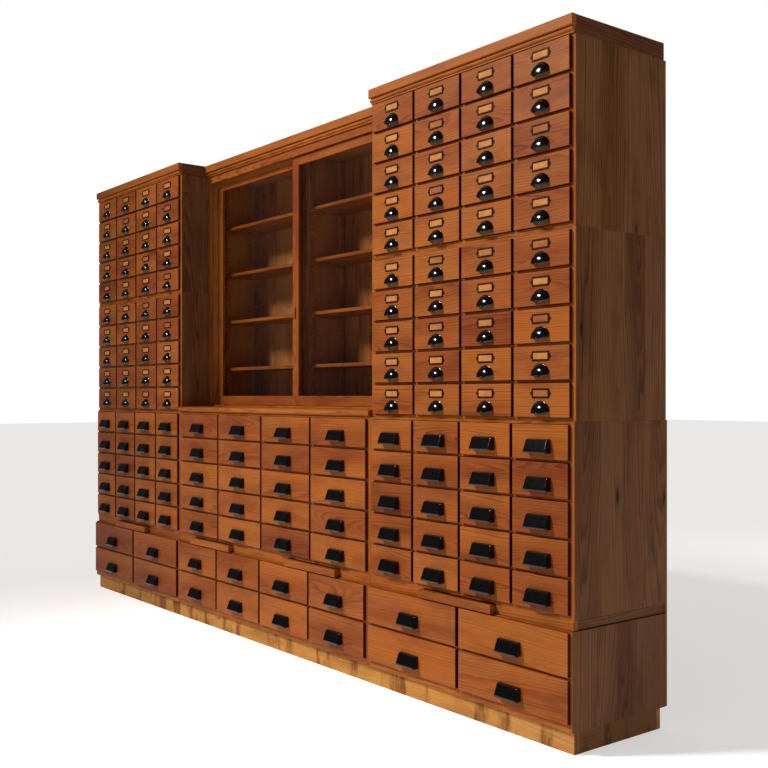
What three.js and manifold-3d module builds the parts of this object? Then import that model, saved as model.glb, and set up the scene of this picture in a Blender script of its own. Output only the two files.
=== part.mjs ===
// Apothecary cabinet: three units full of drawers, a drawer tower on each side and a glazed display between.
// Millimetres, +Z up. The front faces -Y and the viewer's right is +X.
// The origin is on the floor, at the middle of the overall width and depth.
import * as THREE from 'three';
import { mergeVertices } from 'three/addons/utils/BufferGeometryUtils.js';
import Module from 'manifold-3d';

const wasm = await Module();
wasm.setup();

// ---------------------------------------------------------------- driving dimensions
// The drawer fronts are set out first, and each unit is as wide and as high as they need.
// Columns: how many, how wide, the gap between two and the margin at each side.
const sideColumns = { count: 4, width: 252, gap: 13, margin: 18 };
const centreColumns = { count: 4, width: 394, gap: 13, margin: 21.5 };
const baseSideColumns = { count: 2, gap: 17, margin: 10 };
// Rows: how many, how high, the gap between two, the wood below the lowest and above the highest.
const baseRows = { count: 2, height: 142.5, gap: 10.5, sill: 27, head: 4.2 };
const midRows = { count: 5, height: 115.5, gap: 10, sill: 16, head: 10.2 };
const lowerTowerRows = { count: 5, height: 113.5, gap: 11, sill: 13, head: 11.2 };
const upperTowerRows = { count: 5, height: 111.5, gap: 11.5, sill: 15, head: 5.2 };

const baseDepth = 494;         // base carcass, front face to back
const midStep = 10;            // the middle carcass stands back from the base front
const towerStep = 17;          // the towers stand back from the base front
const towerBackInset = 7;      // the towers' backs stand forward of the base's
const displayStep = 175;       // the display's face stands back from the base front

const plinthHeight = 75;
const plinthInset = { side: 8, front: 17, back: 30 };
const plinthBoard = 22;
const plinthBearers = 5;       // cross members between the plinth's front and back boards
const waistHeight = 34;        // layer of pull-out writing slides on top of the base
const crownHeight = 60;

const touch = 0.3;             // gap between pieces that touch
const fit = 1;                 // clearance round a working drawer front
const seatLap = 0.5;           // a fixed front's overlap into the wood round it
const backBoard = 12;          // thickness of the back boards

const frontProud = 13;         // drawer fronts stand this far out of the carcass
const frontSunk = 7;           // and reach this far into it
const drawerSide = 10;
const drawerBottom = 6;
const drawerBoxGap = 1.5;      // between a drawer's side and its compartment
const drawerHeadroom = 14;     // between a drawer's sides and the top of its front
const drawerTailGap = 12;      // behind a closed drawer

// Handles and card frames; drop is the distance below the top edge of the front.
const cup = { width: 82, height: 40, depth: 22, wall: 2, drop: 59 };
const hood = { width: 106, height: 47, depth: 28, wall: 2, midDrop: 48, baseDrop: 67, topDepth: 3, lip: 8 };
const card = { width: 94, height: 33, depth: 2.4, border: 4, drop: 17, ear: 9 };
const handleBury = 1;          // a fixed front's handle is let into it by this much

// Pull-out writing slides, centred on these places from the middle of their unit.
const slideOffsets = { right: [-15.5], centre: [420, -470], left: [-29.5] };
const slide = { width: 390, lip: 31, lipDepth: 22, proud: 29, board: 20, length: 400 };
const slideGap = 1;
const slideGuide = 20;         // guide strip beside each slide
const waistRail = 22;          // front rail of the waist, between the slides
const waistRecess = 5;         // the waist's ends stand in from the side panels
const bottomBoard = 12;        // under the base's lowest drawers

// Counter and display.
const counter = { thickness: 28, nose: 14, clearance: 1.5 };
const caseBoard = 20;          // display sides, top and partition
const caseBottom = 8;
const faceFrame = { stile: 32, frieze: 36, thickness: 12 };
const door = { lap: 42.6, thickness: 20, stile: 50, topRail: 40, bottomRail: 47 };
const doorSidePlay = 5;        // between a closed door and the display's side
const doorPlay = 1;            // between the doors, their guides and the bottom board
const doorGuide = 8;           // strip between the two tracks
const doorGuideLap = 12;       // how far the top guides reach down past the doors
const pane = { thickness: 4, groove: 6, play: 0.4 };
const fingerSlot = { width: 10, height: 56, depth: 12, bottom: 422, edge: 20 };
const shelf = { thickness: 16, setback: 92, levels: [200, 452, 705, 954], play: 1 };
const rack = { width: 20, thickness: 12, play: 1, rearGap: 12 };
const cleat = 12;

// Crown moulding, the same over the towers and the display.
const crown = { step: 20, foot: 8, bead: 7, groove: 3, round: 3, backInset: 12, end: 0.4 };
const crownBoard = { wall: 22, top: 14 };

// ---------------------------------------------------------------- places that follow from them
const span = ({ count, gap }, size) => count * size + (count - 1) * gap;
const unitWidth = (columns) => span(columns, columns.width) + 2 * columns.margin;
const stack = (rows) => rows.sill + span(rows, rows.height) + rows.head;

const sideWidth = unitWidth(sideColumns);
const centreWidth = unitWidth(centreColumns);
const baseGaps = (baseSideColumns.count - 1) * baseSideColumns.gap;
baseSideColumns.width = (sideWidth - 2 * baseSideColumns.margin - baseGaps) / baseSideColumns.count;
const baseTop = plinthHeight + touch + stack(baseRows);
const midTop = baseTop + touch + waistHeight + stack(midRows);
const towerSplit = midTop + touch + stack(lowerTowerRows);
const carcassTop = towerSplit + touch + stack(upperTowerRows);
const crownTop = carcassTop + crownHeight;

const width = 2 * sideWidth + centreWidth;
const overallDepth = baseDepth + frontProud + hood.depth;
const backY = overallDepth / 2;
const baseFront = backY - baseDepth;
const midFront = baseFront + midStep;
const towerFront = baseFront + towerStep;
const towerBack = backY - towerBackInset;
const displayFront = baseFront + displayStep;
const centreEdge = centreWidth / 2;

const units = {
  left: { x: [-width / 2, -centreEdge], base: baseSideColumns, mid: sideColumns },
  centre: { x: [-centreEdge, centreEdge], base: centreColumns, mid: centreColumns },
  right: { x: [centreEdge, width / 2], base: baseSideColumns, mid: sideColumns },
};
const middle = ([low, high]) => (low + high) / 2;
const inset = ([low, high], by) => [low + by, high - by];

// ---------------------------------------------------------------- materials
const finish = (color, roughness, metalness = 0) => ({ color, roughness, metalness });
const finishes = {
  oldPine: finish('#b5682f', 0.5),
  darkPine: finish('#6b4630', 0.55),
  palePine: finish('#c08a52', 0.6),
  boxPine: finish('#cfa06a', 0.7),
  blackLacquer: finish('#15110f', 0.25, 0.2),
  bronze: finish('#5a3d22', 0.45, 0.7),
  glass: finish('#2c2622', 0.08),
};

// ---------------------------------------------------------------- solids
function solidOf(geometry) {
  geometry.deleteAttribute('normal');
  geometry.deleteAttribute('uv');
  const merged = mergeVertices(geometry, 1e-4);
  return new wasm.Manifold(new wasm.Mesh({
    numProp: 3,
    vertProperties: merged.attributes.position.array,
    triVerts: new Uint32Array(merged.index.array),
  }));
}

function geometryOf(solid) {
  const { numProp, vertProperties, triVerts } = solid.getMesh();
  const geometry = new THREE.BufferGeometry();
  const corners = new THREE.BufferAttribute(vertProperties, numProp);
  geometry.setAttribute('position', corners);
  geometry.setIndex(new THREE.BufferAttribute(triVerts, 1));
  return geometry;
}

// A rectangular board between two places on each axis.
function board(x, y, z) {
  const geometry = new THREE.BoxGeometry(x[1] - x[0], y[1] - y[0], z[1] - z[0]);
  return solidOf(geometry.translate(middle(x), middle(y), middle(z)));
}

// A moulding: an outline of [y, z] points swept from one x to another.
function moulding(outline, x) {
  const shape = new THREE.Shape(outline.map(([y, z]) => new THREE.Vector2(y, z)));
  const geometry = new THREE.ExtrudeGeometry(shape, { depth: x[1] - x[0], bevelEnabled: false });
  geometry.rotateX(Math.PI / 2).rotateZ(Math.PI / 2);
  return solidOf(geometry.translate(x[0], 0, 0));
}

const join = (solids) => solids.reduce((whole, solid) => whole.add(solid));
const cut = (solid, tools) => tools.reduce((left, tool) => left.subtract(tool), solid);

const cabinet = new THREE.Group();
cabinet.name = 'apothecary_cabinet';
function addPiece(name, solid, look) {
  const piece = new THREE.Mesh(geometryOf(solid), new THREE.MeshStandardMaterial(finishes[look]));
  piece.name = name;
  cabinet.add(piece);
}

// ---------------------------------------------------------------- handles
// Half of a shallow bowl, open underneath and towards the front it is screwed to.
function bowl(centreX, face, bottom, size, grow, segments) {
  const ball = new THREE.SphereGeometry(1, segments, segments / 2).rotateX(Math.PI / 2);
  const half = size.width / 2 - grow;
  ball.scale(half, size.depth - grow, size.height - grow).translate(centreX, face, bottom);
  return solidOf(ball);
}

function cupPull(centreX, face, top, wall) {
  const bottom = top - cup.height;
  const bury = wall ? 0 : handleBury;
  const front = board(
    [centreX - cup.width, centreX + cup.width],
    [face - 2 * cup.depth, face + bury],
    [bottom, top + cup.height],
  );
  const segments = wall ? 20 : 8;
  const outer = bowl(centreX, face, bottom, cup, 0, segments);
  const body = wall ? outer.subtract(bowl(centreX, face, bottom, cup, wall, segments)) : outer;
  return body.intersect(front);
}

// A bent sheet with a sloping front and a triangular cheek at each end, open underneath.
function hoodPull(centreX, face, top, wall) {
  const x = [centreX - hood.width / 2, centreX + hood.width / 2];
  const bottom = top - hood.height;
  const bury = wall ? 0 : handleBury;
  const slope = (shrink) => [
    [face + bury + shrink, top - 2 * shrink],
    [face - hood.topDepth + shrink, top - 2 * shrink],
    [face - hood.depth + shrink, bottom + hood.lip],
    [face - hood.depth + shrink, bottom - shrink],
    [face + bury + shrink, bottom - shrink],
  ];
  const body = moulding(slope(0), x);
  return wall ? body.subtract(moulding(slope(wall), inset(x, wall))) : body;
}

function cardFrame(centreX, face, top, bury) {
  const x = [centreX - card.width / 2 + card.ear, centreX + card.width / 2 - card.ear];
  const z = [top - card.height, top];
  const y = [face - card.depth, face + bury];
  if (bury) return board(x, y, z);
  const window = board(inset(x, card.border), [y[0] - 1, y[1] - 1], inset(z, card.border));
  const mid = middle(z);
  const outline = new THREE.Shape([
    new THREE.Vector2(x[0] - card.ear, mid),
    new THREE.Vector2(x[0] + 1, mid - card.ear),
    new THREE.Vector2(x[1] - 1, mid - card.ear),
    new THREE.Vector2(x[1] + card.ear, mid),
    new THREE.Vector2(x[1] - 1, mid + card.ear),
    new THREE.Vector2(x[0] + 1, mid + card.ear),
  ]);
  const ears = new THREE.ExtrudeGeometry(outline, { depth: card.depth, bevelEnabled: false });
  ears.rotateX(Math.PI / 2).translate(0, y[1], 0);
  return cut(join([board(x, y, z), solidOf(ears)]), [window]);
}

// ---------------------------------------------------------------- drawers and carcasses
// Each front's rectangle in a carcass: columns run from the left, rows from the bottom.
function frontRect(box, column, row) {
  const { columns, rows } = box;
  const x = box.x[0] + columns.margin + column * (columns.width + columns.gap);
  const z = box.z[1] - rows.head - rows.height - (rows.count - 1 - row) * (rows.height + rows.gap);
  return { x: [x, x + columns.width], z: [z, z + rows.height] };
}

const grown = ({ x, z }, by) => ({ x: inset(x, -by), z: inset(z, -by) });

function handle(box, rect, face, wall) {
  const x = middle(rect.x);
  return box.hoodDrop
    ? hoodPull(x, face, rect.z[1] - box.hoodDrop, wall)
    : cupPull(x, face, rect.z[1] - cup.drop, wall);
}

// A drawer that stays shut: its front is one with the carcass.
function fixedFront(box, rect) {
  const seat = grown(rect, fit + seatLap);
  const face = box.front - frontProud;
  const parts = [
    board(seat.x, [face, box.front + frontSunk], seat.z),
    handle(box, rect, face, 0),
  ];
  if (!box.hoodDrop) {
    parts.push(cardFrame(middle(rect.x), face, rect.z[1] - card.drop, handleBury));
  }
  return join(parts);
}

// A drawer that runs out: front, two sides, back and bottom, open on top.
function workingDrawer(box, rect) {
  const face = box.front - frontProud;
  const tail = box.back - drawerTailGap;
  const x = inset(grown(rect, fit).x, drawerBoxGap);
  const z = [rect.z[0], rect.z[1] - drawerHeadroom];
  const y = [box.front + frontSunk - touch, tail];
  const space = board(
    inset(x, drawerSide),
    [box.front + frontSunk, tail - drawerSide],
    [z[0] + drawerBottom, z[1] + drawerHeadroom],
  );
  const tray = board(x, y, z).subtract(space);
  return join([board(rect.x, [face, box.front + frontSunk], rect.z), tray]);
}

function carcassBlock(box) {
  const cells = [];
  for (let column = 0; column < box.columns.count; column += 1) {
    for (let row = 0; row < box.rows.count; row += 1) {
      const cell = grown(frontRect(box, column, row), fit);
      cells.push(board(cell.x, [box.front - 1, box.back + 1], cell.z));
    }
  }
  return cut(board(inset(box.x, touch / 2), [box.front, box.back], box.z), cells);
}

function carcass(box) {
  const fronts = [];
  for (let column = 0; column < box.columns.count; column += 1) {
    for (let row = 0; row < box.rows.count; row += 1) {
      const works = column === box.working[0] && row === box.working[1];
      if (!works) fronts.push(fixedFront(box, frontRect(box, column, row)));
    }
  }
  return join([cut(carcassBlock(box), box.cuts ?? []), ...fronts]);
}

function addCarcass(name, box) {
  const rect = frontRect(box, ...box.working);
  const face = box.front - frontProud;
  addPiece(`${name}_carcass`, carcass(box), 'oldPine');
  addPiece(`${name}_drawer`, workingDrawer(box, rect), 'boxPine');
  const wall = box.hoodDrop ? hood.wall : cup.wall;
  addPiece(`${name}_pull`, handle(box, rect, face - touch, wall), 'blackLacquer');
  if (!box.hoodDrop) {
    const frame = cardFrame(middle(rect.x), face - touch, rect.z[1] - card.drop, 0);
    addPiece(`${name}_card_frame`, frame, 'bronze');
  }
}

// ---------------------------------------------------------------- plinth and base
const lowerBack = backY - backBoard - touch;

function plinth() {
  const x = inset([-width / 2, width / 2], plinthInset.side);
  const y = [baseFront + plinthInset.front, backY - plinthInset.back];
  const z = [0, plinthHeight];
  const frame = board(x, y, z);
  const bays = [];
  const pitch = (x[1] - x[0] - plinthBoard) / (plinthBearers + 1);
  for (let bay = 0; bay <= plinthBearers; bay += 1) {
    const start = x[0] + plinthBoard + bay * pitch;
    bays.push(board([start, start + pitch - plinthBoard], inset(y, plinthBoard), inset(z, -1)));
  }
  return cut(frame, bays);
}
addPiece('plinth', plinth(), 'palePine');

const baseWorking = { left: [0, 1], centre: [2, 1], right: [1, 1] };
const midWorking = { left: [2, 2], centre: [1, 3], right: [2, 3] };

for (const [side, unit] of Object.entries(units)) {
  const z = [plinthHeight + touch, baseTop];
  const hollow = board(
    inset(unit.x, waistRail),
    [baseFront + waistRail, lowerBack + 1],
    [z[0] - 1, z[0] + baseRows.sill - fit - bottomBoard],
  );
  addCarcass(`base_${side}`, {
    x: unit.x,
    z,
    front: baseFront,
    back: lowerBack,
    columns: unit.base,
    rows: baseRows,
    working: baseWorking[side],
    hoodDrop: hood.baseDrop,
    cuts: [hollow],
  });
}

// ---------------------------------------------------------------- waist and middle
// The waist is cut out from below: a slot for each slide, and hollows between the guides beside them.
function waistCuts(side, unit, z) {
  const [low, high] = [z[0] - 1, z[0] + waistHeight];
  const places = slidePlaces[side].toSorted((a, b) => a - b);
  const half = slide.width / 2 + slideGap;
  const slots = places.map((x) => board([x - half, x + half], [midFront - 1, lowerBack + 1], [low, high]));
  const edges = [
    unit.x[0] + waistRail,
    ...places.flatMap((x) => [x - half - slideGuide, x + half + slideGuide]),
    unit.x[1] - waistRail,
  ];
  const hollows = [];
  for (let edge = 0; edge < edges.length; edge += 2) {
    const x = [edges[edge], edges[edge + 1]];
    hollows.push(board(x, [midFront + waistRail, lowerBack + 1], [low, high]));
  }
  const ends = [];
  const y = [midFront - 1, lowerBack + 1];
  if (side === 'left') ends.push(board([unit.x[0] - 1, unit.x[0] + waistRecess], y, [low, high]));
  if (side === 'right') ends.push(board([unit.x[1] - waistRecess, unit.x[1] + 1], y, [low, high]));
  return [...slots, ...hollows, ...ends];
}

const slidePlaces = Object.fromEntries(Object.entries(slideOffsets).map(([side, offsets]) => [
  side,
  offsets.map((offset) => middle(units[side].x) + offset),
]));

for (const [side, unit] of Object.entries(units)) {
  const z = [baseTop + touch, midTop];
  addCarcass(`mid_${side}`, {
    x: unit.x,
    z,
    front: midFront,
    back: lowerBack,
    columns: unit.mid,
    rows: midRows,
    working: midWorking[side],
    hoodDrop: hood.midDrop,
    cuts: waistCuts(side, unit, z),
  });
}

function writingSlide(centreX) {
  const z = [baseTop + touch, baseTop + touch + waistHeight];
  const lipZ = [z[0] + slideGap, z[0] + slideGap + slide.lip];
  const boardZ = [middle(z) - slide.board / 2, middle(z) + slide.board / 2];
  const x = [centreX - slide.width / 2, centreX + slide.width / 2];
  const front = midFront - slide.proud;
  return join([
    board(x, [front, front + slide.lipDepth], lipZ),
    board(x, [front + slide.lipDepth - 1, front + slide.length], boardZ),
  ]);
}

const slideNames = { right: ['right'], centre: ['centre_right', 'centre_left'], left: ['left'] };
for (const [side, places] of Object.entries(slidePlaces)) {
  places.forEach((x, i) => addPiece(`writing_slide_${slideNames[side][i]}`, writingSlide(x), 'oldPine'));
}

const counterTop = midTop + counter.thickness;

function counterBoard() {
  const x = inset(units.centre.x, counter.clearance);
  const z = [midTop + touch, counterTop];
  const front = midFront - counter.nose;
  const round = (z[1] - z[0]) / 2;
  const steps = 6;
  const outline = [[backY, z[0]], [backY, z[1]]];
  for (let step = 0; step <= steps; step += 1) {
    const turn = (Math.PI * step) / steps;
    outline.push([front + round * (1 - Math.sin(turn)), middle(z) + round * Math.cos(turn)]);
  }
  return moulding(outline, x);
}
addPiece('counter_board', counterBoard(), 'oldPine');

// ---------------------------------------------------------------- towers
const towerWorking = {
  lower: { left: [2, 1], right: [2, 3] },
  upper: { left: [1, 2], right: [1, 1] },
};
for (const side of ['left', 'right']) {
  const tower = {
    x: units[side].x,
    front: towerFront,
    back: towerBack - backBoard - touch,
    columns: sideColumns,
  };
  addCarcass(`tower_${side}_lower`, {
    ...tower,
    z: [midTop + touch, towerSplit],
    rows: lowerTowerRows,
    working: towerWorking.lower[side],
  });
  addCarcass(`tower_${side}_upper`, {
    ...tower,
    z: [towerSplit + touch, carcassTop],
    rows: upperTowerRows,
    working: towerWorking.upper[side],
  });
}

// ---------------------------------------------------------------- crowns
// A tall fascia with eased corners over a groove, a bead and a foot that steps back to the carcass.
const cornerSteps = 3;
const beadSteps = 5;
function crownMoulding(x, face, back) {
  const [low, high] = [carcassTop + touch, crownTop];
  const front = face - crown.step;
  const footFront = face - crown.foot;
  const beadMiddle = low + 2 * crown.groove + crown.bead;
  const fasciaBottom = beadMiddle + crown.bead + crown.groove;
  const outline = [[back, low], [back, high]];
  const corner = (z, turnFrom) => {
    for (let step = 0; step <= cornerSteps; step += 1) {
      const turn = turnFrom + (Math.PI / 2) * (step / cornerSteps);
      outline.push([
        front + crown.round * (1 - Math.sin(turn)),
        z + crown.round * Math.cos(turn),
      ]);
    }
  };
  corner(high - crown.round, 0);
  corner(fasciaBottom + crown.round, Math.PI / 2);
  outline.push([footFront, fasciaBottom], [footFront, beadMiddle + crown.bead]);
  for (let step = 1; step < beadSteps; step += 1) {
    const turn = (Math.PI * step) / beadSteps;
    outline.push([
      footFront - crown.bead * Math.sin(turn),
      beadMiddle + crown.bead * Math.cos(turn),
    ]);
  }
  outline.push([footFront, beadMiddle - crown.bead], [footFront, low]);
  const inside = board(
    inset(x, crownBoard.wall),
    [face + crownBoard.wall, back - crownBoard.wall],
    [low - 1, high - crownBoard.top],
  );
  return moulding(outline, x).subtract(inside);
}

for (const side of ['left', 'right']) {
  const x = inset(units[side].x, crown.end);
  addPiece(`crown_${side}`, crownMoulding(x, towerFront, towerBack - crown.backInset), 'oldPine');
}
const displayX = inset(units.centre.x, touch);
addPiece('crown_display', crownMoulding(displayX, displayFront, towerBack - crown.backInset), 'oldPine');

// ---------------------------------------------------------------- display
const displayBack = towerBack - backBoard;
const displayBottom = counterTop + touch;
const caseFront = displayFront + faceFrame.thickness + touch;
const trackFront = caseFront + doorPlay;
const trackRear = trackFront + door.thickness + doorGuide + 2 * doorPlay;
const shelfFront = displayFront + shelf.setback;
const doorZ = [displayBottom + caseBottom + doorPlay, carcassTop - faceFrame.frieze - doorPlay];

// Uprights that carry the shelves, two on each side of each bay, and a cleat between them at every level.
const rackY = [
  [shelfFront, shelfFront + rack.width],
  [displayBack - rack.rearGap - rack.width, displayBack - rack.rearGap],
];
const bays = {
  left: [displayX[0] + caseBoard, -caseBoard / 2],
  right: [caseBoard / 2, displayX[1] - caseBoard],
};
const shelfTop = (level) => displayBottom + shelf.levels[level] + shelf.thickness / 2;

function displayCase() {
  const z = [displayBottom, carcassTop];
  const y = [caseFront, towerBack];
  const inner = Object.values(bays).map((x) =>
    board(x, [caseFront - 1, displayBack], [z[0] + caseBottom, z[1] - caseBoard]));
  // The partition stops behind the doors' tracks, so that the doors can pass it.
  const tracks = board(
    [bays.left[0], bays.right[1]],
    [caseFront - 1, trackRear + door.thickness + doorPlay],
    [z[0] + caseBottom, z[1] - caseBoard],
  );
  const shell = cut(board(displayX, y, z), [...inner, tracks]);
  const guides = [trackFront + door.thickness, trackRear + door.thickness].map((start) => {
    const guideZ = [doorZ[1] - doorGuideLap, z[1] - caseBoard + 1];
    const guideX = inset([bays.left[0], bays.right[1]], -1);
    return board(guideX, [start + doorPlay, start + doorPlay + doorGuide], guideZ);
  });
  const supports = Object.values(bays).flatMap((x) => [
    [x[0] - 1, x[0] + rack.thickness],
    [x[1] - rack.thickness, x[1] + 1],
  ]).flatMap((x) => [
    ...rackY.map((rackDepth) => board(x, rackDepth, [z[0] + caseBottom - 1, z[1] - caseBoard + 1])),
    ...shelf.levels.map((_, i) => {
      const under = shelfTop(i) - shelf.thickness - touch;
      return board(x, [rackY[0][1] - 1, rackY[1][0] + 1], [under - cleat, under]);
    }),
  ]);
  return join([shell, ...guides, ...supports]);
}
addPiece('display_case', displayCase(), 'oldPine');

// A shelf with a notch at each corner for the uprights.
function shelfBoard([low, high], level) {
  const x = [low + shelf.play, high - shelf.play];
  const top = shelfTop(level);
  const z = [top - shelf.thickness, top];
  const plank = board(x, [shelfFront, displayBack - shelf.play], z);
  const notches = rackY.flatMap((y) => [
    board([x[0] - 1, low + rack.thickness + rack.play], inset(y, -rack.play), inset(z, -1)),
    board([high - rack.thickness - rack.play, x[1] + 1], inset(y, -rack.play), inset(z, -1)),
  ]);
  return cut(plank, notches);
}
for (const [side, x] of Object.entries(bays)) {
  shelf.levels.forEach((_, i) => addPiece(`display_shelf_${side}_${i + 1}`, shelfBoard(x, i), 'oldPine'));
}

function displayFaceFrame() {
  const z = [displayBottom, carcassTop];
  const y = [displayFront, displayFront + faceFrame.thickness];
  const opening = board(
    inset(displayX, faceFrame.stile),
    inset(y, -1),
    [z[0] - 1, z[1] - faceFrame.frieze],
  );
  return board(displayX, y, z).subtract(opening);
}
addPiece('display_face_frame', displayFaceFrame(), 'oldPine');

// ---------------------------------------------------------------- sliding doors
// Each door reaches from its side of the display to half the lap past the middle.
const doorReach = displayX[1] - caseBoard - doorSidePlay;
const doors = {
  right: { x: [-door.lap / 2, doorReach], y: trackFront },
  left: { x: [-doorReach, door.lap / 2], y: trackRear },
};
const opening = (x) => ({
  x: inset(x, door.stile),
  z: [doorZ[0] + door.bottomRail, doorZ[1] - door.topRail],
});

function doorFrame({ x, y }) {
  const hole = opening(x);
  const groove = grown(hole, pane.groove + pane.play);
  const depth = [y, y + door.thickness];
  const paneDepth = pane.thickness / 2 + pane.play;
  const slotX = x[0] + fingerSlot.edge;
  const slotZ = displayBottom + fingerSlot.bottom;
  return cut(board(x, depth, doorZ), [
    board(hole.x, inset(depth, -1), hole.z),
    board(groove.x, [middle(depth) - paneDepth, middle(depth) + paneDepth], groove.z),
    board(
      [slotX, slotX + fingerSlot.width],
      [y - 1, y + fingerSlot.depth],
      [slotZ, slotZ + fingerSlot.height],
    ),
  ]);
}

function doorPane({ x, y }) {
  const glass = grown(opening(x), pane.groove);
  const centre = y + door.thickness / 2;
  return board(glass.x, [centre - pane.thickness / 2, centre + pane.thickness / 2], glass.z);
}
for (const [side, place] of Object.entries(doors)) {
  addPiece(`display_door_${side}`, doorFrame(place), 'oldPine');
  addPiece(`display_pane_${side}`, doorPane(place), 'glass');
}

// ---------------------------------------------------------------- back boards
const wholeWidth = inset([-width / 2, width / 2], touch / 2);
const lowerBackY = [backY - backBoard, backY];
const towerBackY = [towerBack - backBoard, towerBack];
addPiece('back_lower', board(wholeWidth, lowerBackY, [plinthHeight + touch, midTop]), 'darkPine');
for (const side of ['left', 'right']) {
  const x = inset(units[side].x, touch / 2);
  addPiece(`back_tower_${side}`, board(x, towerBackY, [midTop + touch, carcassTop]), 'darkPine');
}

export default cabinet;
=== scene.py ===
"""Looks of a pine apothecary cabinet: waxed drawer fronts, enamelled pulls, card frames and a glazed display.

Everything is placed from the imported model's boxes. Sizes below are in millimetres, and Blender works in metres.
"""
import math
import random

import bmesh
import bpy
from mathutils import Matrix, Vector


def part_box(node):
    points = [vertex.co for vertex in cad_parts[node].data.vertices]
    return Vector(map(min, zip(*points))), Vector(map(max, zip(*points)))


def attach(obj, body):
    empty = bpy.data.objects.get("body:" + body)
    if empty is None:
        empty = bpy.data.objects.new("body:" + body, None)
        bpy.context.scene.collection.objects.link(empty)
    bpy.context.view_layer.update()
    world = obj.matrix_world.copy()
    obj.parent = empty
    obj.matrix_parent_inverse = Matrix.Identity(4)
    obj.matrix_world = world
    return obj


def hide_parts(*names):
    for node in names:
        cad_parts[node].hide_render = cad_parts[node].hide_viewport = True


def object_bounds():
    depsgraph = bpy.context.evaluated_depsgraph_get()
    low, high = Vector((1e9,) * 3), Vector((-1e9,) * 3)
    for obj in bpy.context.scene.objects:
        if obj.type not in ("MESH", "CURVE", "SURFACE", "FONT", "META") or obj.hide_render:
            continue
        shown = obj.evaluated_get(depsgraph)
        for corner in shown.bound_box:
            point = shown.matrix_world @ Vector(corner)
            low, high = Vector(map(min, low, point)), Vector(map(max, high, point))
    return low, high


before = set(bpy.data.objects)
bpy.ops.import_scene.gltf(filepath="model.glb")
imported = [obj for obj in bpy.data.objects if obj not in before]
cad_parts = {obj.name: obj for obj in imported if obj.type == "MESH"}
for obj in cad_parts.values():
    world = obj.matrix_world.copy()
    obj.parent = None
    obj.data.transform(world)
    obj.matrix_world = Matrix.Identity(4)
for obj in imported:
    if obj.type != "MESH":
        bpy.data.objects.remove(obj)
cad_low, cad_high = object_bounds()

MM = 0.001
chance = random.Random(1931)

# Columns and rows of drawers, the drawer that works (column from the left, row from the bottom) and the pitches.
LAYOUT = {
    "base_left": {"count": (2, 2), "works": (0, 1), "pitch": (540, 153)},
    "base_centre": {"count": (4, 2), "works": (2, 1), "pitch": (407, 153)},
    "base_right": {"count": (2, 2), "works": (1, 1), "pitch": (540, 153)},
    "mid_left": {"count": (4, 5), "works": (2, 2), "pitch": (265, 125.5)},
    "mid_centre": {"count": (4, 5), "works": (1, 3), "pitch": (407, 125.5)},
    "mid_right": {"count": (4, 5), "works": (2, 3), "pitch": (265, 125.5)},
    "tower_left_lower": {"count": (4, 5), "works": (2, 1), "pitch": (265, 124.5)},
    "tower_left_upper": {"count": (4, 5), "works": (1, 2), "pitch": (265, 123)},
    "tower_right_lower": {"count": (4, 5), "works": (2, 3), "pitch": (265, 124.5)},
    "tower_right_upper": {"count": (4, 5), "works": (1, 1), "pitch": (265, 123)},
}
FRONT_PROUD = 13
FRONT_THICK = 20
FIT = 1
PANEL_BOARD = 118      # the side panels are glued up from boards about this wide
BACK_BOARD = 112
WAIST = 34
WAIST_RAIL = 22
WAIST_RECESS = 5
SLIDE_GUIDE = 20
BOX_SIDE = 10
BOX_BOTTOM = 6
BOX_HEADROOM = 14
RAIL = 12              # between the waist's or plinth's rail and the first drawers
SHEET = 1.6            # thickness of the pressed steel pulls
CARD_INSET = (11.5, 2.5)
CUP_DROP = 3           # the cups reach this far below their node
CUP_RIM = 0.12         # share of a cup's spread that lies flat on the wood
HOOD_BEND, HOOD_FLARE, HOOD_ROOF = 5.0, 2.0, 12.0

CAMERA_FROM_CORNER = (2264.8, -2565.0, 1164.3)   # from the plinth's right front corner, on the floor
CAMERA_TURN = 51.89
CAMERA_LENS = 48.83
CAMERA_RISE = 0.0156

KEY_DIRECTION = (0.63, 1.0, -0.86)
KEY_AIM, KEY_DISTANCE = (1.2, -0.2, 1.2), 8      # metres
SUN_POWER, SUN_ANGLE = 0.75, 4
SPOT_POWER, SPOT_ANGLE, SPOT_RADIUS = 2900, 50, 0.8


# ---------------------------------------------------------------- materials
def linear(hex_colour, alpha=1.0):
    """An sRGB hex colour as the linear numbers that a shader takes."""
    def channel(value):
        value /= 255
        return value / 12.92 if value <= 0.04045 else ((value + 0.055) / 1.055) ** 2.4
    red, green, blue = (int(hex_colour[i:i + 2], 16) for i in (1, 3, 5))
    return channel(red), channel(green), channel(blue), alpha


def add(tree, kind, inputs, out=0, **settings):
    """Adds a shader node, sets its properties, links or fills its inputs, and gives one of its outputs."""
    made = tree.nodes.new(f"ShaderNode{kind}")
    for name, value in settings.items():
        setattr(made, name, value)
    for name, value in inputs.items():
        if isinstance(value, bpy.types.NodeSocket):
            tree.links.new(value, made.inputs[name])
        else:
            made.inputs[name].default_value = value
    return made.outputs[out] if made.outputs else None


def empty_tree(owner):
    owner.use_nodes = True
    owner.node_tree.nodes.clear()
    return owner.node_tree


# Settings that several nodes share. A colour mix takes its share at 0, its colours at 6 and 7, and gives 2.
BLEND = {"data_type": "RGBA"}
STAIN = {"data_type": "RGBA", "blend_type": "MULTIPLY"}
SOFT = {"interpolation_type": "SMOOTHSTEP"}


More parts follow.
